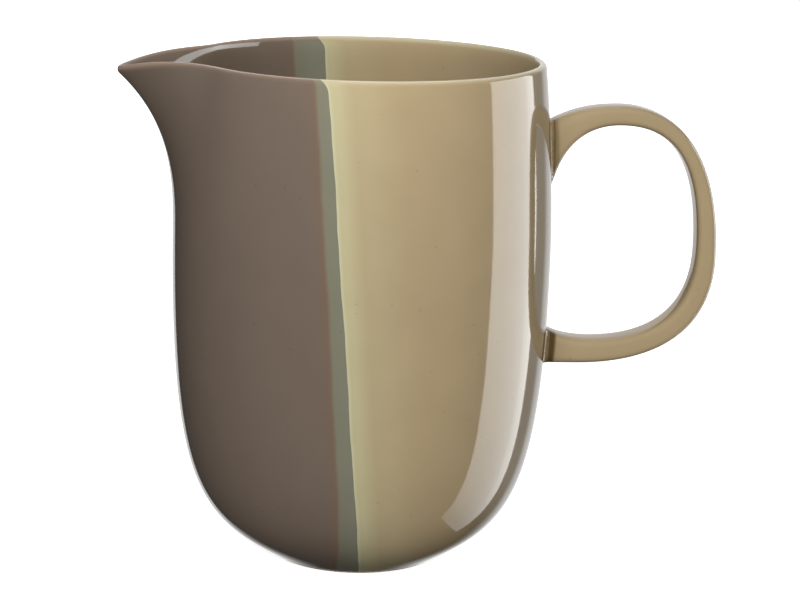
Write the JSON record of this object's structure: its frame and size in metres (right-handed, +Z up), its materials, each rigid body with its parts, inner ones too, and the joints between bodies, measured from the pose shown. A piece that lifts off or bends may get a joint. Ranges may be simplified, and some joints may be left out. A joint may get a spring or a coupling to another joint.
{
  "type": "stoneware crock jug",
  "caption": "Round-bellied stoneware jug for pouring drinks, with a pulled spout, strap handle, turned foot ring and dipped glazes that overlap in a narrow band.",
  "frame": {"origin": "middle of the foot ring, on the plane it stands on", "axes": "+Z up through the rim, +X out through the handle, -X out through the spout; the viewer stands at -Y, 5 degrees round towards the spout"},
  "size_m": [0.2148, 0.1348, 0.1801],
  "materials": {
    "fired_clay": "matt bare stoneware",
    "fired_slip": "smooth, thinly glazed over",
    "taupe_glaze": "gloss glaze",
    "sage_glaze": "gloss glaze",
    "sand_glaze": "gloss glaze"
  },
  "bodies": {
    "root": {"clay_body": "fired_clay", "clay_handle": "fired_clay", "upper_slip_joint": "fired_slip", "lower_slip_joint": "fired_slip", "taupe_glaze": "taupe_glaze", "sage_glaze_band": "sage_glaze", "sand_glaze": "sand_glaze", "handle_glaze": "sand_glaze"}
  },
  "joints": []
}
